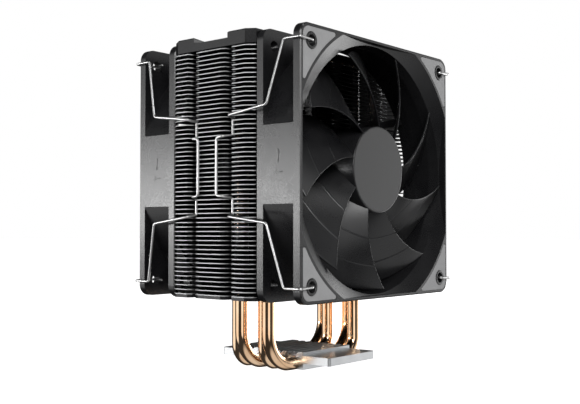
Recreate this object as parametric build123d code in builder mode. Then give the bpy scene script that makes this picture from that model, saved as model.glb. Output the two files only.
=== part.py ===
"""Twin-fan CPU tower cooler: finned stack on four heat pipes, with a fan held on each side by wire clips.

Millimetres. +Z is up. The origin is the centre of the base's contact face.
X runs across the fans, the intake fan is on the -Y side and the exhaust fan on the +Y side.
"""

import os
from math import cos, radians, tan

from build123d import *

# Fans: the common 120 x 25 mm size
fan_size = 120.0
fan_depth = 25.0
hole_spacing = 105.0
fan_corner_r = 5.5
flange_thickness = 4.0
bore_r = 57.2  # duct around the blades
throat_r = 58.3  # narrow end of the inlet cone
mouth_r = 65.8  # wide end of the inlet cone, cut off by the frame's sides
mouth_depth = 3.9
rim_width = 1.3  # frame left between the mouth and the side faces
duct_r = 62.4  # outside of the duct, cut off by the frame's sides
screw_hole_r = 2.5
boss_r = 3.8

# Corner pads, set into the flange faces
pad_edge = 58.4  # pad edge from the fan's centre
pad_arc_r = 67.2
pad_thickness = 1.2
pad_gap = 0.1

# Fan rotor and motor, as depths from the intake face
hub_r = 20.3
hub_wall = 1.4
hub_front = 1.5
hub_floor = 3.5
hub_back = 19.9
cap_r = 19.6
cap_thickness = 0.4
blade_count = 9
blade_tip_r = 56.3
blade_front = 2.0
blade_thickness = 1.1
blade_start = 6.8  # leading edge's angle at the hub, from +X towards +Z
blade_sweep = 28.0  # how far the leading edge leans forward from hub to tip
blade_chords = ((18.5, 44), (30, 41), (43, 38), (57.5, 36))  # section radius, angle it spans
shaft_r = 1.5
shaft_front = 2.4
shaft_back = 22.4
bush_r = 3.0
bush_front = 6.5
bush_back = 20.4
tube_r = 4.0
tube_front = 5.4
motor_base_r = 21.5
motor_base_front = 21.4
strut_width = 3.4
strut_length = 46.0
label_r = 17.0
label_pocket = 0.35
core_front = 8.0
core_height = 8.0
core_outer_r = 15.6
core_ring_r = 13.4
core_hub_r = 6.2
pole_count = 4
pole_middle_r = 10.0
coil_length = 5.6
coil_width = 7.6
coil_front = 6.2
coil_height = 11.6
magnet_inner_r = 16.2
magnet_outer_r = 17.8
magnet_front = 6.0
magnet_back = 18.6
running_gap = 0.03

# Fin stack
stack_depth = 51.5
fin_count = 55
fin_pitch = 2.045
fin_thickness = 0.4
fin_half_width = 63.0
fin_bottom = 36.6

# Heat pipes
pipe_r = 3.0
pipe_pitch = 8.4
pipe_bend_end = 21.2  # where the bends meet the straight run under the base
pipe_centre_z = 2.6  # lower than the radius, so the pipes are ground flush with the contact face
pipe_near_leg = 30.0
pipe_far_leg = 36.8
pipe_top = 150.8

# Bottom plate, under the lowest fin
bottom_plate_low = 35.1
bottom_plate_high = 36.55

# Base
base_width = 37.0
plate_height = 3.0
ear_reach = 34.0
ear_top = 6.75
block_top = 8.3
ridge_count = 8
ridge_depth = 1.1
mount_hole_r = 1.25  # tapped M3
mount_x = 12.5
mount_y = 28.0

# Top cover
cover_bottom = 148.3
cover_rim_top = 151.9
cover_deck = 153.6
cover_top = 154.7
cover_wall = 1.6

# Wire clips
wire_r = 0.6
hook_gap = 0.3  # wire to fan face
hook_length = 9.2
handle_half = 13.0

fan_z = 94.4
fan_front = stack_depth / 2 + fan_depth
fan_axis = Axis((0, 0, fan_z), (0, 1, 0))
hole_offset = hole_spacing / 2
fin_edge = stack_depth / 2


def fan_plane(depth):
    """Plane across the intake fan at a depth from its front face; extruding by -t goes deeper."""
    return Plane((0, depth - fan_front, fan_z), x_dir=(1, 0, 0), z_dir=(0, -1, 0))


def save(shape, label):
    shape.label = label
    export_step(shape, f"parts/{label}.step")


def pipe_run(row, left, right, radius):
    """U-shaped round bar in the XZ plane at Y = row, open end up."""
    with BuildPart() as run:
        with BuildLine(Plane((0, row, 0), x_dir=(1, 0, 0), z_dir=(0, -1, 0))):
            FilletPolyline((-left, pipe_top), (-left, pipe_centre_z), (right, pipe_centre_z),
                           (right, pipe_top), radius=[left - pipe_bend_end, right - pipe_bend_end])
        with BuildSketch(Plane.XY.offset(pipe_top)):
            with Locations((-left, row)):
                Circle(radius)
        sweep()
    return run.part


os.makedirs("parts", exist_ok=True)

# Each pipe's row, and its left and right leg from the middle; the legs are staggered row by row
pipe_rows = []
for index in range(4):
    legs = (pipe_near_leg, pipe_far_leg) if index % 2 else (pipe_far_leg, pipe_near_leg)
    pipe_rows.append(((index - 1.5) * pipe_pitch, *legs))

# ---------------------------------------------------------------- base block
with BuildPart() as base_block:
    with BuildSketch(Plane.XY):
        Rectangle(base_width, base_width)
    extrude(amount=plate_height)
    with BuildSketch(Plane.XY.offset(plate_height)):
        RectangleRounded(base_width, 2 * ear_reach, 1.2)
    extrude(amount=ear_top - plate_height)
    ridge_pitch = base_width / ridge_count
    with BuildSketch(Plane.YZ.offset(-base_width / 2)):
        with Locations((0, (ear_top + block_top) / 2)):
            Rectangle(base_width, block_top - ear_top)
        with GridLocations(ridge_pitch, 0, ridge_count - 1, 1):
            with Locations((0, block_top)):
                Polygon((-ridge_pitch / 2.6, 0), (ridge_pitch / 6, 0), (0, -ridge_depth),
                        align=None, mode=Mode.SUBTRACT)
    extrude(amount=base_width)
    with Locations(Plane.XY.offset(ear_top)):
        with GridLocations(2 * mount_x, 2 * mount_y, 2, 2):
            Hole(mount_hole_r, depth=ear_top - plate_height + 1)
    for row, left, right in pipe_rows:
        add(pipe_run(row, left, right, pipe_r + 0.03), mode=Mode.SUBTRACT)
save(base_block.part, "base_block")

# ---------------------------------------------------------------- heat pipes
for number, (row, left, right) in enumerate(pipe_rows, start=1):
    with BuildPart() as heat_pipe:
        add(pipe_run(row, left, right, pipe_r))
        fillet(heat_pipe.faces().group_by(Axis.Z)[-1].edges(), pipe_r * 0.7)
        split(bisect_by=Plane.XY, keep=Keep.TOP)
    save(heat_pipe.part, f"heat_pipe_{number}")

# ---------------------------------------------------------------- cooling fins
fin_quarter = [
    (fin_half_width, 7.1), (62.2, 9.2), (58.7, 10.6), (58.7, 12.3), (61.0, 12.9),
    (fin_half_width, 14.0),
    (fin_half_width, 21.5), (60.0, fin_edge), (45.0, fin_edge - 1.6), (30.0, fin_edge),
    (15.0, fin_edge - 1.6), (0.0, fin_edge),
]
right_back = fin_quarter
left_back = [(-x, y) for x, y in reversed(fin_quarter[:-1])]
left_front = [(-x, -y) for x, y in fin_quarter]
right_front = [(x, -y) for x, y in reversed(fin_quarter[:-1])]
leg_places = [(-left, row) for row, left, right in pipe_rows]
leg_places += [(right, row) for row, left, right in pipe_rows]
fin_outline = right_back + left_back + left_front + right_front
fin_levels = [Plane.XY.offset(fin_bottom + level * fin_pitch) for level in range(fin_count)]
with BuildPart() as cooling_fins:
    with BuildSketch(*fin_levels):
        Polygon(*fin_outline, align=None)
        with Locations(*leg_places):
            Circle(pipe_r + 0.05, mode=Mode.SUBTRACT)
    extrude(amount=fin_thickness)
save(cooling_fins.part, "cooling_fins")
stack_top = fin_bottom + (fin_count - 1) * fin_pitch + fin_thickness

# ---------------------------------------------------------------- bottom plate
with BuildPart() as bottom_plate:
    with BuildSketch(Plane.XY.offset(bottom_plate_low)):
        Polygon(*fin_outline, align=None)
        with Locations(*leg_places):
            Circle(pipe_r + 0.05, mode=Mode.SUBTRACT)
    extrude(amount=bottom_plate_high - bottom_plate_low)
save(bottom_plate.part, "bottom_plate")

# ---------------------------------------------------------------- top cover
rim = [(62.4, 21.2), (59.6, fin_edge - 0.2)]
rim_outline = rim + [(-x, y) for x, y in reversed(rim)] + [(-x, -y) for x, y in rim]
rim_outline += [(x, -y) for x, y in reversed(rim)]
with BuildPart() as top_cover:
    with BuildSketch(Plane.XY.offset(cover_bottom)):
        Polygon(*rim_outline, align=None)
    extrude(amount=cover_rim_top - cover_bottom)
    with BuildSketch(Plane.XY.offset(cover_rim_top)):
        Polygon(*rim_outline, align=None)
    with BuildSketch(Plane.XY.offset(cover_deck)):
        RectangleRounded(112, 40, 3)
    loft()
    with BuildSketch(Plane.XY.offset(cover_rim_top)):
        for x_side in (-1, 1):
            for y_side in (-1, 1):
                corner = [(62.4, 21.2), (59.6, 25.5), (50.0, 25.5), (47.0, 21.5), (47.0, 15.0), (51.0, 13.2),
                          (62.4, 10.6)]
                Polygon(*[(x_side * x, y_side * y) for x, y in corner], align=None)
    extrude(amount=cover_top - cover_rim_top)
    chamfer(top_cover.edges().group_by(Axis.Z)[-1], 0.5)
    with BuildSketch(Plane.XY.offset(cover_bottom)):
        Polygon(*rim_outline, align=None)
        offset(amount=-cover_wall, mode=Mode.REPLACE)
    extrude(amount=cover_deck - cover_wall - cover_bottom, mode=Mode.SUBTRACT)
    with BuildSketch(Plane.XY.offset(stack_top)):
        with GridLocations(92, 34, 2, 2):
            Circle(2.2)
    extrude(amount=cover_deck - 1 - stack_top)
save(top_cover.part, "top_cover")


# ---------------------------------------------------------------- fan parts, drawn on the intake fan
def pad_profile(grow):
    """Corner pad outline in one corner: two straight edges and a concave arc."""
    with BuildSketch() as outline:
        with Locations((pad_edge + grow, pad_edge + grow)):
            Rectangle(30, 30, align=(Align.MAX, Align.MAX))
        Circle(pad_arc_r - grow, mode=Mode.SUBTRACT)
        fillet(outline.vertices().sort_by(lambda v: v.X + v.Y)[-1], 4.0)
        fillet(outline.vertices().sort_by(Axis.X)[0], 0.9)
        fillet(outline.vertices().sort_by(Axis.Y)[0], 0.9)
        with Locations((hole_offset, hole_offset)):
            Circle(boss_r + pad_gap - grow, mode=Mode.SUBTRACT)
    return outline.sketch


def ring(inner_r, outer_r, front, back):
    """Tube about the fan's axis between two depths."""
    with BuildPart() as tube:
        with BuildSketch(fan_plane(front)):
            Circle(outer_r)
            if inner_r:
                Circle(inner_r, mode=Mode.SUBTRACT)
        extrude(amount=-(back - front))
    return tube.part


def turned(shape, count):
    """Copies of a shape, evenly turned about the fan's axis."""
    return [shape.rotate(fan_axis, turn * 360 / count) for turn in range(count)]


def corner_solids(profile, depth, thickness):
    with BuildPart() as corner:
        with BuildSketch(fan_plane(depth)):
            add(profile)
        extrude(amount=-thickness)
    return turned(corner.part, 4)


pad_shape = pad_profile(0)
pad_pocket = pad_profile(pad_gap)
rear_face = fan_depth - pad_thickness

with BuildPart() as front_pads:
    add(corner_solids(pad_shape, 0, pad_thickness))

with BuildPart() as back_pads:
    add(corner_solids(pad_shape, rear_face, pad_thickness))

with BuildPart() as air_passage:
    with BuildSketch(Plane((0, -fan_front, fan_z), x_dir=(1, 0, 0), z_dir=(0, 0, 1))):
        Polygon((0, -1), (mouth_r, -1), (mouth_r, 0), (throat_r, mouth_depth), (bore_r, 9), (bore_r, 17),
                (throat_r, fan_depth + 1), (0, fan_depth + 1), align=None)
    revolve(axis=fan_axis)
    with BuildSketch(fan_plane(-2)):
        Rectangle(fan_size - 2 * rim_width, fan_size - 2 * rim_width)
    extrude(amount=-(fan_depth + 4), mode=Mode.INTERSECT)

with BuildPart() as frame:
    for depth in (0, fan_depth - flange_thickness):
        with BuildSketch(fan_plane(depth)):
            RectangleRounded(fan_size, fan_size, fan_corner_r)
        extrude(amount=-flange_thickness)
    chamfer(frame.edges().group_by(Axis.Y)[0] + frame.edges().group_by(Axis.Y)[-1], 0.5)
    with BuildSketch(fan_plane(flange_thickness)):
        Circle(duct_r)
        Rectangle(fan_size, fan_size, mode=Mode.INTERSECT)
    extrude(amount=-(fan_depth - 2 * flange_thickness))
    add(air_passage.part, mode=Mode.SUBTRACT)
    add(corner_solids(pad_pocket, 0, pad_thickness), mode=Mode.SUBTRACT)
    add(corner_solids(pad_pocket, rear_face, pad_thickness), mode=Mode.SUBTRACT)
    with BuildSketch(fan_plane(0)):
        with GridLocations(hole_spacing, hole_spacing, 2, 2):
            Circle(screw_hole_r)
    extrude(amount=-fan_depth, mode=Mode.SUBTRACT)
    with BuildSketch(fan_plane(motor_base_front)):
        Circle(motor_base_r)
        for turn in range(4):
            with Locations(Location((0, 0, 0), (0, 0, 25 + 90 * turn))):
                with Locations(Location((38.5, 9.5, 0), (0, 0, -14))):
                    Rectangle(strut_length, strut_width)
        Circle(duct_r - 1.2, mode=Mode.INTERSECT)
    extrude(amount=-(fan_depth - motor_base_front))
    with BuildSketch(fan_plane(tube_front)):
        Circle(tube_r)
    extrude(amount=-(fan_depth - tube_front - 0.6))
    with BuildSketch(fan_plane(tube_front)):
        Circle(bush_r)
    extrude(amount=-(fan_depth - tube_front - 1.4), mode=Mode.SUBTRACT)
    with BuildSketch(fan_plane(fan_depth - label_pocket)):
        Circle(label_r + 0.2)
    extrude(amount=-label_pocket, mode=Mode.SUBTRACT)

motor_label = ring(0, label_r, fan_depth - label_pocket, fan_depth - 0.05)
bearing_bush = ring(shaft_r + running_gap, bush_r - 0.01, bush_front, bush_back)
circuit_board = ring(tube_r + 0.1, label_r + 0.5, motor_base_front - 1.1, motor_base_front)
magnet_ring = ring(magnet_inner_r, magnet_outer_r, magnet_front, magnet_back)

with BuildPart() as stator_core:
    with BuildSketch(fan_plane(core_front)):
        Circle(core_outer_r)
        Circle(core_ring_r, mode=Mode.SUBTRACT)
        with PolarLocations((core_outer_r + core_ring_r) / 2, pole_count, start_angle=45):
            Rectangle(4, 5.5, mode=Mode.SUBTRACT)  # slots between the pole shoes
        Circle(core_hub_r)
        with PolarLocations(pole_middle_r - 0.4, pole_count):
            Rectangle(8.4, 4)  # pole arms
        Circle(tube_r + 0.05, mode=Mode.SUBTRACT)
    extrude(amount=-core_height)

with BuildPart() as coil:
    with BuildSketch(fan_plane(coil_front)):
        with Locations((pole_middle_r, 0)):
            Rectangle(coil_length, coil_width)
    extrude(amount=-coil_height)
    fillet(coil.edges().filter_by(Axis.X), 1.2)
    with BuildSketch(fan_plane(core_front - 0.1)):
        with Locations((pole_middle_r, 0)):
            Rectangle(coil_length, 4.2)
    extrude(amount=-(core_height + 0.2), mode=Mode.SUBTRACT)

with BuildPart() as stator_coils:
    add(turned(coil.part, pole_count))

with BuildPart() as shaft:
    with BuildSketch(fan_plane(shaft_front)):
        Circle(shaft_r)
    extrude(amount=-(shaft_back - shaft_front))
    with BuildSketch(fan_plane(shaft_back - 1.2)):
        Circle(shaft_r)
        Circle(shaft_r - 0.35, mode=Mode.SUBTRACT)
    extrude(amount=-0.5, mode=Mode.SUBTRACT)

with BuildPart() as shaft_clip:
    with BuildSketch(fan_plane(shaft_back - 1.15)):
        Circle(2.6)
        Circle(shaft_r - 0.3, mode=Mode.SUBTRACT)
        with Locations((2, 0)):
            Rectangle(3, 1.6, mode=Mode.SUBTRACT)
    extrude(amount=-0.4)

yoke = ring(magnet_outer_r + 0.05, hub_r - hub_wall - running_gap, hub_floor + 0.1, magnet_back + 0.7)
hub_cap = ring(0, cap_r, hub_front, hub_front + cap_thickness)


def blade_section(radius, chord_angle):
    """Thin curved section of a blade on the plane that touches the cylinder of this radius."""
    edge_radius = radius / cos(radians(chord_angle / 2))
    sweep_angle = blade_start + blade_sweep * (edge_radius - hub_r) / (blade_tip_r - hub_r)
    middle = sweep_angle - chord_angle / 2
    depth_span = hub_back - 0.9 - blade_front
    camber = []
    for step in range(7):
        along = step / 6
        across = -radius * tan(radians(chord_angle * (0.5 - along)))
        camber.append((across, blade_front + depth_span * (0.75 * along + 0.25 * along ** 2)))
    upper = [(across, -(depth - blade_thickness / 2)) for across, depth in camber]
    lower = [(across, -(depth + blade_thickness / 2)) for across, depth in camber]
    outward = Vector(1, 0, 0).rotate(Axis.Y, -middle)
    tangent = Vector(0, 0, -1).rotate(Axis.Y, -middle)
    section_plane = Plane(fan_plane(0).origin + outward * radius, x_dir=tangent, z_dir=outward)
    flip = 1 if section_plane.y_dir.Y < 0 else -1
    with BuildSketch(section_plane) as section:
        with BuildLine():
            Spline(*[(x, flip * y) for x, y in upper])
            Spline(*[(x, flip * y) for x, y in lower])
            Line((upper[0][0], flip * upper[0][1]), (lower[0][0], flip * lower[0][1]))
            Line((upper[-1][0], flip * upper[-1][1]), (lower[-1][0], flip * lower[-1][1]))
        make_face()
    return section.sketch


with BuildPart() as blade:
    loft([blade_section(radius, chord_angle) for radius, chord_angle in blade_chords])
    add(ring(hub_r - 0.4, blade_tip_r, 0, fan_depth), mode=Mode.INTERSECT)

with BuildPart() as impeller:
    with BuildSketch(fan_plane(hub_front)):
        Circle(hub_r)
    extrude(amount=-(hub_back - hub_front))
    fillet(impeller.edges().group_by(Axis.Y)[0], 0.5)
    with BuildSketch(fan_plane(hub_front)):
        Circle(cap_r + 0.05)
    extrude(amount=-cap_thickness, mode=Mode.SUBTRACT)
    with BuildSketch(fan_plane(hub_floor)):
        Circle(hub_r - hub_wall)
    extrude(amount=-(hub_back - hub_floor), mode=Mode.SUBTRACT)
    with BuildSketch(fan_plane(hub_floor)):
        Circle(4.6)
    extrude(amount=-1.5)
    with BuildSketch(fan_plane(shaft_front)):
        Circle(shaft_r)
    extrude(amount=-2.8, mode=Mode.SUBTRACT)
    add(turned(blade.part, blade_count))

fan_pieces = {
    "frame": frame.part,
    "intake_pads": front_pads.part,
    "outlet_pads": back_pads.part,
    "motor_label": motor_label,
    "bearing_bush": bearing_bush,
    "circuit_board": circuit_board,
    "stator_core": stator_core.part,
    "stator_coils": stator_coils.part,
    "impeller": impeller.part,
    "hub_cap": hub_cap,
    "rotor_yoke": yoke,
    "magnet_ring": magnet_ring,
    "rotor_shaft": shaft.part,
    "shaft_clip": shaft_clip.part,
}
for fan_name, shift in (("front_fan", 0), ("rear_fan", stack_depth + fan_depth)):
    for piece, shape in fan_pieces.items():
        save(Pos(0, shift, 0) * shape, f"{fan_name}_{piece}")

# ---------------------------------------------------------------- wire clips
hook_y = fan_front + wire_r + hook_gap
clip_half = [
    (hole_offset, hook_y - hook_length, 52.5), (hole_offset, hook_y, 52.5), (61.2, hook_y, 52.9),
    (61.2, hook_y - 9.2, 53.0), (64.2, 35.3, 25.3), (64.2, 13.2, 22.4), (59.6, 11.45, 21.6),
    (59.6, 11.45, handle_half + 1.0), (64.3, 9.3, handle_half + 0.3), (64.3, 5.8, handle_half),
]
corner_radii = [1.0, 1.0, 1.5, 2.0, 1.3, 1.0, 1.2, 1.2, 1.6]
clip_route = clip_half + [(x, y, -z) for x, y, z in reversed(clip_half)]
clip_radii = corner_radii + corner_radii[::-1]
for x_side, side_name in ((-1, "left"), (1, "right")):
    for y_side, fan_name in ((-1, "front"), (1, "rear")):
        route = [(x_side * x, y_side * y, fan_z + z) for x, y, z in clip_route]
        with BuildPart() as wire_clip:
            with BuildLine() as path:
                FilletPolyline(*route, radius=clip_radii)
            with BuildSketch(Plane(path.line @ 0, z_dir=path.line % 0)):
                Circle(wire_r)
            sweep()
            tips = wire_clip.faces().filter_by(GeomType.PLANE).edges()
            fillet(tips, 0.35)
        save(wire_clip.part, f"{fan_name}_{side_name}_clip")
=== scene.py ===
"""Looks of the twin-fan CPU tower cooler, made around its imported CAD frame.

Metres, +Z up, the front fan facing -Y. Constants are in millimetres unless they say otherwise.
"""

import math

import bmesh
import bpy
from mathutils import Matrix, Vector


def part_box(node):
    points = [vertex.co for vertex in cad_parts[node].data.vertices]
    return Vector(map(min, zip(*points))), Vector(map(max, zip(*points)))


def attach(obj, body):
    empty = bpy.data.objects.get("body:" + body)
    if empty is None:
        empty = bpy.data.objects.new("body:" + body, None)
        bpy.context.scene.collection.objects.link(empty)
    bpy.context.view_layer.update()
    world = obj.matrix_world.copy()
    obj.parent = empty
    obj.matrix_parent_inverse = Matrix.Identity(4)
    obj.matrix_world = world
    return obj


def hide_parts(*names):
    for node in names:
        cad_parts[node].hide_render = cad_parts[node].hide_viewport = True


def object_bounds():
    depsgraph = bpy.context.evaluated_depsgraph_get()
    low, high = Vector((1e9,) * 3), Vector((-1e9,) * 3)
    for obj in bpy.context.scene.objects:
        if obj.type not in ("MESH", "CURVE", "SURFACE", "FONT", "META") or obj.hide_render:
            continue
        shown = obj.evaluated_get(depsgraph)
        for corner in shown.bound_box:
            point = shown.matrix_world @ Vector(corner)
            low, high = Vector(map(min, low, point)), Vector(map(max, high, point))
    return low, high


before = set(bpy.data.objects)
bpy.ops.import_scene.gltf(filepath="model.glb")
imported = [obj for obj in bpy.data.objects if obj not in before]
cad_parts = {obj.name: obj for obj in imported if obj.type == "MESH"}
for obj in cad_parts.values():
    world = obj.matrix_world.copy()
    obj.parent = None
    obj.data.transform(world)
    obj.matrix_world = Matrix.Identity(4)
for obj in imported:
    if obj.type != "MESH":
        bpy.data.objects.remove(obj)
cad_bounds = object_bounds()

MM = 0.001
FANS = ("front_fan", "rear_fan")
HEATSINK = "heatsink"

# Camera: place in metres, turn from +Y towards +X and lift above level in radians
CAMERA_PLACE = (-0.35596, -0.29112, 0.06553)
CAMERA_YAW = 0.877
CAMERA_PITCH = 0.032
SENSOR_WIDTH = 36
LENS = 56.74

# Studio lights aimed at the middle of the object: name, place and size in metres, watts
SOFTBOXES = (
    ("front_fill", (-0.75, -0.75, 0.55), (0.5, 0.5), 8),
    ("left_back", (-0.635, 0.515, 0.10), (0.5, 0.07), 2.1),
    ("right_side", (0.75, 0.12, 0.05), (0.35, 0.35), 3),
    ("top_front", (0.04, -0.68, 0.58), (0.3, 0.2), 0.35),
    ("overhead", (-0.1, -0.25, 0.95), (0.5, 0.15), 1.2),
)

# Room that lights the object: its even level, and soft glows as direction, cosines of the angle
# from it at which the glow begins and is full, strength
ROOM_LEVEL = 0.045
ROOM_GLOWS = (
    ((-0.75, 0.65, -0.05), 0.84, 0.93, 1.2),
    ((0.86, -0.50, -0.1), 0.78, 0.9, 0.72),
    ((-0.55, -0.84, 0.0), 0.93, 0.975, 1.3),
    ((0.97, -0.08, -0.04), 0.9, 0.965, 3.0),
    ((0.05, -0.45, -0.89), 0.74, 0.93, 0.7),
)

# Floor sheet in metres: half its width, and its height
FLOOR_HALF = 6
FLOOR_Z = -0.0001

# Range in which most of a noise texture's values lie
NOISE_LOW = 0.3
NOISE_HIGH = 0.7

# Distance from the middle plane, in metres, over which the painted shade on the fins' edges further in fades
# out to their bright metal
FIN_SHADE_FADE_START = 0.0602
FIN_SHADE_FADE_END = 0.0610

# Fan hub: radii from its axis, depths from the fan's intake face
FAN_DEPTH = 25.0
HUB_R = 20.3
HUB_FRONT = 1.5
HUB_FLOOR = 3.5
HUB_BACK = 19.9
HUB_WALL = 1.4
HUB_SIDES = 144
CAP_R = 19.65
CAP_THICKNESS = 0.4
SHAFT_R = 1.5
BOSS_R = 4.6
BOSS_HEIGHT = 1.5
FRONT_ROUND = 0.5
FRONT_ROUND_TURNS = (0.3, 0.6, 0.9, 1.2, math.pi / 2)
RECESS_CHAMFER = 0.06
BACK_CHAMFER_OUTSIDE = 0.2
BACK_CHAMFER_INSIDE = 0.15
FLOOR_CHAMFER = 0.3

# Blades: start and sweep of the leading edge in degrees, chords as (radius, degrees spanned);
# the curl is the share of the depth that grows with the square of the way along the chord
BLADE_COUNT = 9
BLADE_TIP_R = 56.3
BLADE_ROOT = 0.7
BLADE_FRONT = 2.0
BLADE_BACK = 19.0
BLADE_HALF = 0.55
BLADE_START = 6.8
BLADE_SWEEP = 28.0
BLADE_CURL = 0.25
BLADE_CHORDS = ((18.5, 44), (30, 41), (43, 38), (57.5, 36))
SECTION_PASSES = 3
SPAN_STEPS = 34
TIP_ROUND = 0.5
TIP_INSETS = (0.08, 0.25, 0.5)
RIB_RADII = (33.0, 45.0)
RIB_HEIGHT = 0.14
RIB_WIDTH = 0.24
RIB_STEPS = (-2, -1.3, -0.8, -0.4, 0, 0.4, 0.8, 1.3, 2)

# Shares of the chord: sections near an edge, steps between, widths of the edge's round and the ribs' end
EDGE_SHARES = (0, 0.002, 0.006, 0.012, 0.02, 0.035)
CHORD_STEPS = 20
EDGE_ROUND = 0.02
RIB_FADE = 0.08

# Rims round the screw holes: the holes' place in X and Z from the axis, outline as (radius, rise)
SCREW_OFFSET = 52.5
SCREW_RIM = ((2.52, -0.6), (2.52, 0.1), (2.62, 0.2), (3.4, 0.2), (3.62, 0.08), (3.66, -0.6))
SCREW_RIM_SIDES = 40

# Arrows on the duct's sides: outline round a place, both as (depth, rise from the fan's axis);
# levels as (height over the side, size of the outline there)
SIDE_X = 60.0
FLOW_PLACE = (12.5, -3.5)
FLOW_ARROW = ((-2.4, -0.3), (0.8, -0.3), (0.8, -0.95), (2.4, 0.0), (0.8, 0.95), (0.8, 0.3), (-2.4, 0.3))
TURN_PLACE = (12.5, 3.5)
TURN_ARROW = ((-0.3, -3.0), (0.3, -3.0), (0.3, 1.4), (0.95, 1.4), (0.0, 3.0), (-0.95, 1.4), (-0.3, 1.4))
ARROW_LEVELS = ((-0.1, 1.0), (0.1, 1.0), (0.16, 0.93))

# Fin stack, pipes, and the fins' collars round the pipes
FIN_PITCH = 2.045
FIN_SHEET = 0.4
PIPES = (1, 2, 3, 4)
PIPE_R = 3
COLLAR_INNER_R = 3.07
COLLAR_OUTER_R = 3.36
COLLAR_FLARE = 0.25
COLLAR_FLARE_HEIGHT = 0.3
COLLAR_CHAMFER = 0.08
COLLAR_GAP = 0.12
COLLAR_SIDES = 18


# ---------------------------------------------------------------- stage: camera, lights, room and floor
def add_camera():
    data = bpy.data.cameras.new("camera")
    data.sensor_width = SENSOR_WIDTH
    data.lens = LENS
    camera = bpy.data.objects.new("camera", data)
    bpy.context.scene.collection.objects.link(camera)
    level = math.cos(CAMERA_PITCH)
    aim = Vector((math.sin(CAMERA_YAW) * level, math.cos(CAMERA_YAW) * level, math.sin(CAMERA_PITCH)))
    camera.location = CAMERA_PLACE
    camera.rotation_mode = "QUATERNION"
    camera.rotation_quaternion = aim.to_track_quat("-Z", "Y")
    bpy.context.scene.camera = camera


def add_softbox(name, place, target, size, watts):
    """Rectangular studio light aimed at a point."""
    data = bpy.data.lights.new(name, "AREA")
    data.shape = "RECTANGLE"
    data.size, data.size_y = size
    data.energy = watts
    data.spread = math.pi
    light = bpy.data.objects.new(name, data)
    bpy.context.scene.collection.objects.link(light)
    light.location = place
    light.rotation_mode = "QUATERNION"
    light.rotation_quaternion = (Vector(target) - Vector(place)).to_track_quat("-Z", "Y")
    light.visible_camera = False


def add_world():
    """White to the camera; to the object, a dim room with soft glows on both sides, in front and below."""
    world = bpy.data.worlds.new("studio")
    bpy.context.scene.world = world
    world.use_nodes = True
    nodes, links = world.node_tree.nodes, world.node_tree.links
    nodes.clear()
    direction = nodes.new("ShaderNodeTexCoord").outputs["Generated"]
    total = None
    for towards, start, end, strength in ROOM_GLOWS:
        dot = nodes.new("ShaderNodeVectorMath")
        dot.operation = "DOT_PRODUCT"
        dot.inputs[1].default_value = Vector(towards).normalized()
        links.new(direction, dot.inputs[0])
        glow = nodes.new("ShaderNodeMapRange")
        glow.interpolation_type = "SMOOTHSTEP"
        for socket, number in (("From Min", start), ("From Max", end), ("To Min", 0), ("To Max", strength)):
            glow.inputs[socket].default_value = number
        links.new(dot.outputs["Value"], glow.inputs["Value"])
        add = nodes.new("ShaderNodeMath")
        add.operation = "ADD"
        add.inputs[0].default_value = ROOM_LEVEL
        if total is not None:
            links.new(total, add.inputs[0])
        links.new(glow.outputs["Result"], add.inputs[1])
        total = add.outputs["Value"]
    seen = nodes.new("ShaderNodeBackground")
    seen.inputs["Color"].default_value = (1, 1, 1, 1)
    room = nodes.new("ShaderNodeBackground")
    room.inputs["Color"].default_value = (1, 1, 1, 1)
    links.new(total, room.inputs["Strength"])
    path = nodes.new("ShaderNodeLightPath")
    mix = nodes.new("ShaderNodeMixShader")
    output = nodes.new("ShaderNodeOutputWorld")
    links.new(path.outputs["Is Camera Ray"], mix.inputs["Fac"])
    links.new(room.outputs["Background"], mix.inputs[1])
    links.new(seen.outputs["Background"], mix.inputs[2])
    links.new(mix.outputs["Shader"], output.inputs["Surface"])


def add_floor():
    """White sheet just under the object, left out of reflections and of light that bounces."""
    mesh = bpy.data.meshes.new("floor")
    corners = [(-FLOOR_HALF, -FLOOR_HALF), (FLOOR_HALF, -FLOOR_HALF),
               (FLOOR_HALF, FLOOR_HALF), (-FLOOR_HALF, FLOOR_HALF)]
    mesh.from_pydata([(x, y, FLOOR_Z) for x, y in corners], [], [(0, 1, 2, 3)])
    floor = bpy.data.objects.new("floor", mesh)
    bpy.context.scene.collection.objects.link(floor)
    paper = bpy.data.materials.new("floor_paper")
    paper.use_nodes = True
    shader = paper.node_tree.nodes["Principled BSDF"]
    shader.inputs["Base Color"].default_value = (0.9, 0.9, 0.9, 1)
    shader.inputs["Roughness"].default_value = 0.7
    shader.inputs["Specular IOR Level"].default_value = 0.1
    shader.inputs["Emission Color"].default_value = (1, 1, 1, 1)
    shader.inputs["Emission Strength"].default_value = 1.0
    mesh.materials.append(paper)
    floor.visible_glossy = False
    floor.visible_diffuse = False


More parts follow.
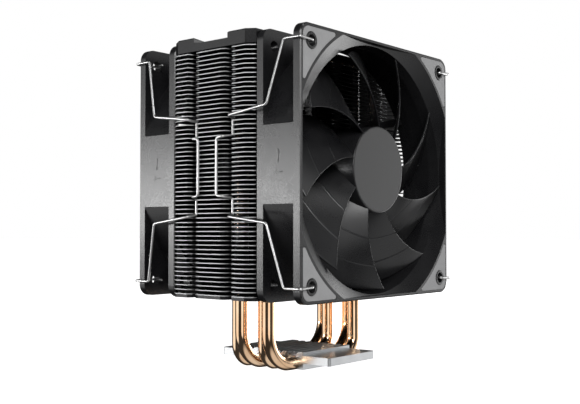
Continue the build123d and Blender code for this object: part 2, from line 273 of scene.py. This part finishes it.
# ---------------------------------------------------------------- materials
class Surface:
    """A Principled material with short ways to add procedural detail in the object's own coordinates."""

    def __init__(self, name, **values):
        self.material = bpy.data.materials.new(name)
        self.material.use_nodes = True
        self.tree = self.material.node_tree
        self.shader = self.tree.nodes["Principled BSDF"]
        self.place = self.new("ShaderNodeTexCoord").outputs["Object"]
        for socket, value in values.items():
            self.shader.inputs[socket.replace("_", " ")].default_value = value

    def new(self, kind):
        return self.tree.nodes.new(kind)

    def link(self, source, target):
        self.tree.links.new(source, target)

    def noise(self, per_metre, detail=3.0, stretch=(1, 1, 1), distortion=0.0):
        """Noise texture; a stretch below 1 draws it out along that axis."""
        mapping = self.new("ShaderNodeMapping")
        mapping.inputs["Scale"].default_value = stretch
        self.link(self.place, mapping.inputs["Vector"])
        node = self.new("ShaderNodeTexNoise")
        node.inputs["Scale"].default_value = per_metre
        node.inputs["Detail"].default_value = detail
        node.inputs["Distortion"].default_value = distortion
        self.link(mapping.outputs["Vector"], node.inputs["Vector"])
        return node.outputs["Fac"]

    def cells(self, per_metre):
        node = self.new("ShaderNodeTexVoronoi")
        node.inputs["Scale"].default_value = per_metre
        self.link(self.place, node.inputs["Vector"])
        return node.outputs["Distance"]

    def bands(self, per_metre, direction, distortion):
        node = self.new("ShaderNodeTexWave")
        node.wave_type = "BANDS"
        node.bands_direction = direction
        node.inputs["Scale"].default_value = per_metre
        node.inputs["Distortion"].default_value = distortion
        self.link(self.place, node.inputs["Vector"])
        return node.outputs["Fac"]

    def component(self, vector, axis):
        node = self.new("ShaderNodeSeparateXYZ")
        self.link(vector, node.inputs["Vector"])
        return node.outputs[axis]

    def levels(self, value, low, high, start=NOISE_LOW, end=NOISE_HIGH):
        """Maps a texture value between start and end to the range low..high."""
        node = self.new("ShaderNodeMapRange")
        for socket, number in (("From Min", start), ("From Max", end), ("To Min", low), ("To Max", high)):
            node.inputs[socket].default_value = number
        self.link(value, node.inputs["Value"])
        return node.outputs["Result"]

    def math(self, operation, *values):
        """Math node over numbers and texture values."""
        node = self.new("ShaderNodeMath")
        node.operation = operation
        for socket, value in zip(node.inputs, values):
            if isinstance(value, (int, float)):
                socket.default_value = value
            else:
                self.link(value, socket)
        return node.outputs["Value"]

    def blend(self, first, first_share, second, second_share):
        """Two texture values added up, each times its share."""
        parts = [self.math("MULTIPLY", first, first_share), self.math("MULTIPLY", second, second_share)]
        return self.math("ADD", *parts)

    def colours(self, value, *stops):
        """Colour ramp over a texture value; each stop is (position, (r, g, b))."""
        node = self.new("ShaderNodeValToRGB")
        ramp = node.color_ramp
        while len(ramp.elements) < len(stops):
            ramp.elements.new(0.5)
        for element, (position, colour) in zip(ramp.elements, stops):
            element.position = position
            element.color = (*colour, 1)
        self.link(value, node.inputs["Fac"])
        self.link(node.outputs["Color"], self.shader.inputs["Base Color"])

    def shades(self, noise, dark, light):
        """Two colours over the usual range of a noise."""
        self.colours(noise, (NOISE_LOW, dark), (NOISE_HIGH, light))

    def roughness(self, value, low, high, start=NOISE_LOW, end=NOISE_HIGH):
        self.link(self.levels(value, low, high, start, end), self.shader.inputs["Roughness"])

    def bump(self, height, depth_mm, strength=1.0):
        """Raises the surface by a texture; several calls add up."""
        node = self.new("ShaderNodeBump")
        node.inputs["Distance"].default_value = depth_mm * MM
        node.inputs["Strength"].default_value = strength
        self.link(height, node.inputs["Height"])
        target = self.shader.inputs["Normal"]
        if target.is_linked:
            self.link(target.links[0].from_socket, node.inputs["Normal"])
        self.link(node.outputs["Normal"], target)


def moulded_plastic(name, dark, light, roughness, grain_mm=0.35, grain_depth=0.01, gloss=0.5):
    """Injection-moulded plastic: eroded mould grain, faint flow mottling, slight wear in the gloss."""
    surface = Surface(name, Specular_IOR_Level=gloss)
    mottling = surface.noise(55, detail=4)
    surface.shades(mottling, dark, light)
    grain = surface.noise(1 / (grain_mm * MM), detail=4)
    surface.roughness(surface.blend(mottling, 0.5, grain, 0.5), *roughness)
    surface.bump(grain, grain_depth)
    surface.bump(surface.noise(260, detail=2), 0.01, 0.3)
    return surface.material


def make_frame_plastic():
    return moulded_plastic("frame_plastic", (0.008, 0.008, 0.009), (0.013, 0.013, 0.014), (0.24, 0.33))


def make_blade_plastic():
    return moulded_plastic("blade_plastic", (0.010, 0.010, 0.011), (0.017, 0.017, 0.018), (0.25, 0.34),
                           grain_mm=0.6, grain_depth=0.008)


def make_cover_plastic():
    return moulded_plastic("cover_plastic", (0.007, 0.007, 0.008), (0.012, 0.012, 0.013), (0.22, 0.3),
                           grain_mm=0.3, grain_depth=0.008, gloss=0.35)


def make_clip_plastic():
    return moulded_plastic("clip_plastic", (0.45, 0.44, 0.42), (0.55, 0.54, 0.52), (0.35, 0.5))


def make_hub_satin():
    """Fine even satin of the hub's cap."""
    surface = Surface("hub_cap_satin", Specular_IOR_Level=0.5)
    fine = surface.noise(5200, detail=2)
    surface.shades(fine, (0.034, 0.034, 0.035), (0.042, 0.042, 0.043))
    surface.roughness(fine, 0.45, 0.56)
    surface.bump(fine, 0.006)
    return surface.material


def make_pad_rubber():
    """Matt grey rubber, speckled and clouded."""
    surface = Surface("pad_rubber", Specular_IOR_Level=0.35)
    speckle = surface.cells(2600)
    cloud = surface.noise(140, detail=4)
    tone = surface.blend(speckle, 0.35, cloud, 0.6)
    surface.colours(tone, (0.25, (0.31, 0.31, 0.314)), (0.75, (0.40, 0.40, 0.405)))
    surface.roughness(cloud, 0.55, 0.7)
    surface.bump(surface.noise(2400, detail=5), 0.03)
    return surface.material


def make_fin_aluminium():
    """Rolled sheet: dull oxide on the flat faces, bright metal on the edges left by shearing at the sides;
    further in, painted shade dulls those edges.
    """
    surface = Surface("fin_aluminium", Metallic=1.0)
    rolling = surface.noise(900, detail=5, stretch=(0.05, 1, 1))
    normal = surface.new("ShaderNodeNewGeometry").outputs["True Normal"]
    flatness = surface.math("ABSOLUTE", surface.component(normal, "Z"))
    sideways = surface.math("ABSOLUTE", surface.component(surface.place, "X"))
    # painted shade: away from the sides, inside the stack, the edges keep only 0.3 of their bright tone
    outer = surface.levels(sideways, 0.3, 1.0, FIN_SHADE_FADE_START, FIN_SHADE_FADE_END)
    edges_and_painted_shade = surface.math("MULTIPLY", surface.levels(flatness, 1.0, 0.0, 0.4, 0.8), outer)
    tone = surface.blend(edges_and_painted_shade, 0.7, rolling, 0.3)
    surface.colours(tone, (0.05, (0.10, 0.10, 0.104)), (0.3, (0.17, 0.17, 0.174)),
                    (0.75, (0.46, 0.465, 0.47)))
    surface.roughness(surface.blend(edges_and_painted_shade, 0.8, rolling, 0.2), 0.25, 0.6, 0.1, 0.9)
    surface.bump(rolling, 0.006)
    return surface.material


def make_pipe_copper():
    """Polished drawn copper with faint tarnish clouds and drawing marks along the legs."""
    surface = Surface("pipe_copper", Metallic=1.0)
    tarnish = surface.noise(90, detail=5, distortion=0.6)
    surface.colours(tarnish, (0.25, (0.80, 0.50, 0.29)), (0.55, (0.90, 0.62, 0.40)),
                    (0.8, (0.94, 0.70, 0.48)))
    marks = surface.noise(2600, detail=3, stretch=(1, 1, 0.03))
    surface.roughness(surface.blend(tarnish, 0.6, marks, 0.4), 0.05, 0.13)
    surface.bump(marks, 0.004)
    return surface.material


def make_base_aluminium():
    """Cast and milled aluminium: bead-blasted grain with fine cutter lines."""
    surface = Surface("base_aluminium", Metallic=1.0)
    blast = surface.noise(3800, detail=4)
    milling = surface.noise(5200, detail=2, stretch=(0.04, 1, 1))
    both = surface.blend(blast, 0.5, milling, 0.5)
    surface.shades(surface.noise(120, detail=3), (0.52, 0.53, 0.54), (0.60, 0.61, 0.62))
    surface.roughness(both, 0.26, 0.42)
    surface.bump(both, 0.012)
    return surface.material


def make_wire_steel():
    """Bright spring wire with faint marks."""
    surface = Surface("wire_steel", Metallic=1.0)
    marks = surface.noise(1500, detail=4)
    surface.shades(marks, (0.58, 0.58, 0.58), (0.72, 0.72, 0.72))
    surface.roughness(marks, 0.3, 0.42)
    surface.bump(marks, 0.004)
    return surface.material


def make_shaft_steel():
    """Ground steel: turning marks round the fan's axis."""
    surface = Surface("shaft_steel", Metallic=1.0)
    turning = surface.noise(6000, detail=2, stretch=(0.05, 1, 0.05))
    surface.shades(turning, (0.60, 0.61, 0.62), (0.72, 0.73, 0.74))
    surface.roughness(turning, 0.12, 0.24)
    surface.bump(turning, 0.003)
    return surface.material


def make_core_steel():
    """Electrical steel: stacked sheets show as fine bands along the fan's axis."""
    surface = Surface("core_steel", Metallic=1.0)
    sheets = surface.bands(320, "Y", 0.2)
    stain = surface.noise(400, detail=4)
    surface.shades(stain, (0.24, 0.25, 0.27), (0.36, 0.37, 0.38))
    surface.roughness(stain, 0.35, 0.5)
    surface.bump(sheets, 0.05)
    return surface.material


def make_coil_copper():
    """Enamelled winding wire."""
    surface = Surface("coil_copper", Metallic=0.85, Coat_Weight=0.5, Coat_Roughness=0.12)
    turns = surface.bands(520, "Z", 0.3)
    surface.shades(surface.noise(700, detail=3), (0.55, 0.20, 0.08), (0.68, 0.29, 0.13))
    surface.roughness(turns, 0.22, 0.38)
    surface.bump(turns, 0.12)
    return surface.material


def make_bronze():
    """Sintered bearing bronze with open pores."""
    surface = Surface("bronze", Metallic=1.0)
    pores = surface.cells(4500)
    surface.colours(pores, (0.1, (0.28, 0.17, 0.07)), (0.45, (0.62, 0.42, 0.20)))
    surface.roughness(pores, 0.6, 0.36, 0.1, 0.5)
    surface.bump(pores, 0.03)
    return surface.material


def make_board():
    """Green solder mask over copper tracks."""
    surface = Surface("board", Coat_Weight=0.6, Coat_Roughness=0.15)
    tracks = surface.new("ShaderNodeTexBrick")
    tracks.inputs["Scale"].default_value = 320
    tracks.inputs["Mortar Size"].default_value = 0.09
    for socket, colour in (("Color1", (0.02, 0.13, 0.05, 1)), ("Color2", (0.02, 0.10, 0.04, 1)),
                           ("Mortar", (0.05, 0.24, 0.10, 1))):
        tracks.inputs[socket].default_value = colour
    surface.link(surface.place, tracks.inputs["Vector"])
    surface.link(tracks.outputs["Color"], surface.shader.inputs["Base Color"])
    surface.roughness(surface.noise(900), 0.3, 0.42)
    surface.bump(tracks.outputs["Fac"], 0.03)
    return surface.material


def make_ferrite():
    """Dark sintered magnet."""
    surface = Surface("ferrite", Specular_IOR_Level=0.4)
    grain = surface.noise(2400, detail=5)
    surface.shades(grain, (0.030, 0.029, 0.029), (0.060, 0.058, 0.056))
    surface.roughness(grain, 0.5, 0.7)
    surface.bump(grain, 0.03)
    return surface.material


def make_label_foil():
    """Blank brushed foil over the motor."""
    surface = Surface("label_foil", Metallic=0.8)
    brushing = surface.noise(3000, detail=3, stretch=(0.03, 1, 1))
    surface.shades(brushing, (0.42, 0.43, 0.44), (0.54, 0.55, 0.56))
    surface.roughness(brushing, 0.3, 0.42)
    surface.bump(brushing, 0.004)
    return surface.material


MATERIALS = {
    "base_aluminium": make_base_aluminium(),
    "pipe_copper": make_pipe_copper(),
    "fin_aluminium": make_fin_aluminium(),
    "cover_plastic": make_cover_plastic(),
    "frame_plastic": make_frame_plastic(),
    "pad_rubber": make_pad_rubber(),
    "blade_plastic": make_blade_plastic(),
    "hub_cap_satin": make_hub_satin(),
    "label_foil": make_label_foil(),
    "bronze": make_bronze(),
    "board": make_board(),
    "core_steel": make_core_steel(),
    "coil_copper": make_coil_copper(),
    "ferrite": make_ferrite(),
    "shaft_steel": make_shaft_steel(),
    "clip_plastic": make_clip_plastic(),
    "wire_steel": make_wire_steel(),
}


def dress_cad_nodes():
    """Gives every CAD node the detailed material of its own slot."""
    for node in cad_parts.values():
        for slot in node.material_slots:
            slot.material = MATERIALS[slot.material.name]


# ---------------------------------------------------------------- meshes
def turned_faces(count, steps, start=0):
    """Quads between the turned copies of a closed outline of count points."""
    faces = []
    for step in range(steps):
        here, after = start + step * count, start + (step + 1) % steps * count
        for index in range(count):
            following = (index + 1) % count
            faces.append((here + index, here + following, after + following, after + index))
    return faces


def lathe(profile, steps, place):
    """Turns a closed (radius, depth) outline about an axis along Y; place says where the axis starts."""
    vertices = []
    for step in range(steps):
        turn = 2 * math.pi * step / steps
        for radius, depth in profile:
            vertices.append(place + Vector((radius * math.cos(turn), depth, radius * math.sin(turn))) * MM)
    return vertices, turned_faces(len(profile), steps)


def append_shell(vertices, faces, shell, shell_faces):
    """Adds a closed shell to the lists of a mesh that holds several."""
    start = len(vertices)
    vertices += shell
    faces += [tuple(start + index for index in face) for face in shell_faces]


def add_piece(name, vertices, faces, slot, body, sharp):
    """Closed mesh in the shared frame, smooth but for edges over sharp degrees, dressed, riding on a body."""
    mesh = bpy.data.meshes.new(name)
    mesh.from_pydata(vertices, [], faces)
    shell = bmesh.new()
    shell.from_mesh(mesh)
    bmesh.ops.recalc_face_normals(shell, faces=shell.faces)
    shell.to_mesh(mesh)
    shell.free()
    mesh.materials.append(MATERIALS[slot])
    mesh.shade_smooth()
    mesh.set_sharp_from_angle(angle=math.radians(sharp))
    piece = bpy.data.objects.new(name, mesh)
    bpy.context.scene.collection.objects.link(piece)
    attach(piece, body)
    return piece


# ---------------------------------------------------------------- fans
def fan_face(fan):
    """Y of a fan's intake face, and the height of its axis."""
    low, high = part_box(fan + "_frame")
    return low.y, (low.z + high.z) / 2


def chord_at(radius):
    """Angle a blade section spans, between the given section radii."""
    for (low, low_chord), (high, high_chord) in zip(BLADE_CHORDS, BLADE_CHORDS[1:]):
        if radius <= high:
            break
    share = max(0.0, (radius - low) / (high - low))
    return low_chord + share * (high_chord - low_chord)


def blade_point(radius, along):
    """Angle in degrees and depth of a blade's middle surface, from leading edge (0) to trailing edge (1).

    Sections are straight chords, so the radius of the section through a point is closed in on by steps.
    """
    section_r = radius
    for _ in range(SECTION_PASSES):
        half = math.radians(chord_at(section_r) / 2)
        section_r = radius / math.hypot(1, math.tan(half) * (1 - 2 * along))
    chord = chord_at(section_r)
    half = math.radians(chord / 2)
    edge_r = section_r / math.cos(half)
    lead = BLADE_START + BLADE_SWEEP * (edge_r - HUB_R) / (BLADE_TIP_R - HUB_R)
    angle = lead - chord / 2 + math.degrees(math.atan(math.tan(half) * (1 - 2 * along)))
    share = (1 - BLADE_CURL) * along + BLADE_CURL * along ** 2
    return angle, BLADE_FRONT + (BLADE_BACK - BLADE_FRONT) * share


def rounding(inside):
    """Half-thickness factor of a rounded edge, from 0 on the edge to 1 where the round ends."""
    return math.sqrt(max(0.0, 1 - (1 - min(inside, 1)) ** 2))


def blade_sections():
    """Radii of the sections, closer together at the ribs and the tip."""
    radii = [HUB_R - BLADE_ROOT + (BLADE_TIP_R - HUB_R + BLADE_ROOT) * step / SPAN_STEPS
             for step in range(SPAN_STEPS + 1)]
    radii += [BLADE_TIP_R - inset for inset in TIP_INSETS]
    for rib in RIB_RADII:
        radii += [rib + RIB_WIDTH * step for step in RIB_STEPS]
    return sorted(set(radii))


def blade_chords():
    """Places along a section from 0 to 1, closer together at both edges."""
    edge = EDGE_SHARES[-1]
    middle = [edge + (1 - 2 * edge) * step / CHORD_STEPS for step in range(1, CHORD_STEPS)]
    return list(EDGE_SHARES) + middle + [1 - share for share in reversed(EDGE_SHARES)]


def blade_shell(turn, place):
    """One blade: front and back skins with rounded edges and thin raised ribs on the front."""
    radii, chords = blade_sections(), blade_chords()
    vertices, faces = [], []
    for side in (-1, 1):
        for radius in radii:
            tip = rounding((BLADE_TIP_R - radius) / TIP_ROUND)
            for along in chords:
                angle, depth = blade_point(radius, along)
                to_edge = min(along, 1 - along)
                half = BLADE_HALF * rounding(to_edge / EDGE_ROUND) * tip
                if side < 0:
                    rib = sum(math.exp(-((radius - r) / RIB_WIDTH) ** 2) for r in RIB_RADII)
                    half += RIB_HEIGHT * rib * rounding(to_edge / RIB_FADE) * tip
                turned = math.radians(angle) + turn
                x, z = radius * math.cos(turned), radius * math.sin(turned)
                vertices.append(place + Vector((x, depth + side * half, z)) * MM)
    across = len(chords)
    skin = len(radii) * across
    for row in range(len(radii) - 1):
        for column in range(across - 1):
            first = row * across + column
            quad = (first, first + 1, first + 1 + across, first + across)
            faces.append(quad)
            faces.append(tuple(skin + index for index in reversed(quad)))
    rim = list(range(across))
    rim += [row * across + across - 1 for row in range(1, len(radii))]
    rim += [(len(radii) - 1) * across + column for column in range(across - 2, -1, -1)]
    rim += [row * across for row in range(len(radii) - 2, 0, -1)]
    for first, second in zip(rim, rim[1:] + rim[:1]):
        faces.append((first, second, skin + second, skin + first))
    return vertices, faces


def hub_profile():
    """Closed outline of the hub's cup as (radius, depth), with a rounded front edge, open at the back."""
    inside = HUB_R - HUB_WALL
    profile = [(SHAFT_R, HUB_FRONT + CAP_THICKNESS), (CAP_R, HUB_FRONT + CAP_THICKNESS),
               (CAP_R, HUB_FRONT + RECESS_CHAMFER), (CAP_R + RECESS_CHAMFER, HUB_FRONT),
               (HUB_R - FRONT_ROUND, HUB_FRONT)]
    profile += [(HUB_R - FRONT_ROUND + FRONT_ROUND * math.sin(turn),
                 HUB_FRONT + FRONT_ROUND - FRONT_ROUND * math.cos(turn)) for turn in FRONT_ROUND_TURNS]
    profile += [(HUB_R, HUB_BACK - BACK_CHAMFER_OUTSIDE), (HUB_R - BACK_CHAMFER_OUTSIDE, HUB_BACK),
                (inside + BACK_CHAMFER_INSIDE, HUB_BACK), (inside, HUB_BACK - BACK_CHAMFER_INSIDE),
                (inside, HUB_FLOOR + FLOOR_CHAMFER), (inside - FLOOR_CHAMFER, HUB_FLOOR),
                (BOSS_R, HUB_FLOOR), (BOSS_R, HUB_FLOOR + BOSS_HEIGHT), (SHAFT_R, HUB_FLOOR + BOSS_HEIGHT)]
    return profile


def add_impeller(fan):
    """Nine swept blades on the hub, in place of the plain CAD impeller."""
    front, height = fan_face(fan)
    place = Vector((0, front, height))
    vertices, faces = lathe(hub_profile(), HUB_SIDES, place)
    for number in range(BLADE_COUNT):
        append_shell(vertices, faces, *blade_shell(2 * math.pi * number / BLADE_COUNT, place))
    piece = add_piece(fan + "_rotor_blades", vertices, faces, "blade_plastic", fan + "_rotor", sharp=35)
    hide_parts(fan + "_impeller")


def add_screw_rims(fan):
    """Slightly raised moulded rims round the screw holes on both faces."""
    front, height = fan_face(fan)
    vertices, faces = [], []
    for outward, face in ((-1, 0.0), (1, FAN_DEPTH)):
        profile = [(radius, face + outward * rise) for radius, rise in SCREW_RIM]
        for x in (-SCREW_OFFSET, SCREW_OFFSET):
            for z in (-SCREW_OFFSET, SCREW_OFFSET):
                place = Vector((x * MM, front, height + z * MM))
                append_shell(vertices, faces, *lathe(profile, SCREW_RIM_SIDES, place))
    add_piece(fan + "_screw_rims", vertices, faces, "frame_plastic", HEATSINK, sharp=25)


def add_side_arrows(fan):
    """Plain arrows on both sides of the duct: one along the air flow, one the way the blades turn."""
    front, height = fan_face(fan)
    vertices, faces = [], []
    for side in (-1, 1):
        for (depth, rise), outline in ((FLOW_PLACE, FLOW_ARROW), (TURN_PLACE, TURN_ARROW)):
            start = len(vertices)
            count = len(outline)
            for raised, size in ARROW_LEVELS:
                x = side * (SIDE_X + raised) * MM
                for y, z in outline:
                    vertices.append((x, front + (depth + y * size) * MM, height + (rise + z * size) * MM))
            top = start + (len(ARROW_LEVELS) - 1) * count
            for lower in range(start, top, count):
                upper = lower + count
                for index in range(count):
                    following = (index + 1) % count
                    faces.append((lower + index, lower + following, upper + following, upper + index))
            faces.append(tuple(start + index for index in reversed(range(count))))
            faces.append(tuple(top + index for index in range(count)))
    add_piece(fan + "_side_arrows", vertices, faces, "frame_plastic", HEATSINK, sharp=25)


# ---------------------------------------------------------------- fin stack
def add_pipe_collars():
    """Drawn collars of the fins round every pipe leg, a ring between each two fins."""
    low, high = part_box("cooling_fins")
    pitch, sheet = FIN_PITCH * MM, FIN_SHEET * MM
    inner, outer = COLLAR_INNER_R * MM, COLLAR_OUTER_R * MM
    gaps = round((high.z - low.z - sheet) / pitch)
    vertices, faces = [], []
    for number in PIPES:
        left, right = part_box(f"heat_pipe_{number}")
        row = (left.y + right.y) / 2
        for leg in (left.x + PIPE_R * MM, right.x - PIPE_R * MM):
            for gap in range(gaps):
                base = low.z + gap * pitch + sheet
                top = base + pitch - sheet - COLLAR_GAP * MM
                outline = [(inner, base), (outer + COLLAR_FLARE * MM, base),
                           (outer, base + COLLAR_FLARE_HEIGHT * MM), (outer, top - COLLAR_CHAMFER * MM),
                           (outer - COLLAR_CHAMFER * MM, top), (inner, top)]
                faces += turned_faces(len(outline), COLLAR_SIDES, len(vertices))
                for side in range(COLLAR_SIDES):
                    turn = 2 * math.pi * side / COLLAR_SIDES
                    x, y = math.cos(turn), math.sin(turn)
                    vertices += [(leg + radius * x, row + radius * y, z) for radius, z in outline]
    add_piece("fin_collars", vertices, faces, "fin_aluminium", HEATSINK, sharp=40)


add_camera()
add_world()
add_floor()
centre = (cad_bounds[0] + cad_bounds[1]) / 2
for light_name, light_place, light_size, light_watts in SOFTBOXES:
    add_softbox(light_name, light_place, centre, light_size, light_watts)
bpy.context.scene.view_settings.view_transform = "Standard"
dress_cad_nodes()
add_pipe_collars()
for fan_name in FANS:
    add_impeller(fan_name)
    add_screw_rims(fan_name)
    add_side_arrows(fan_name)
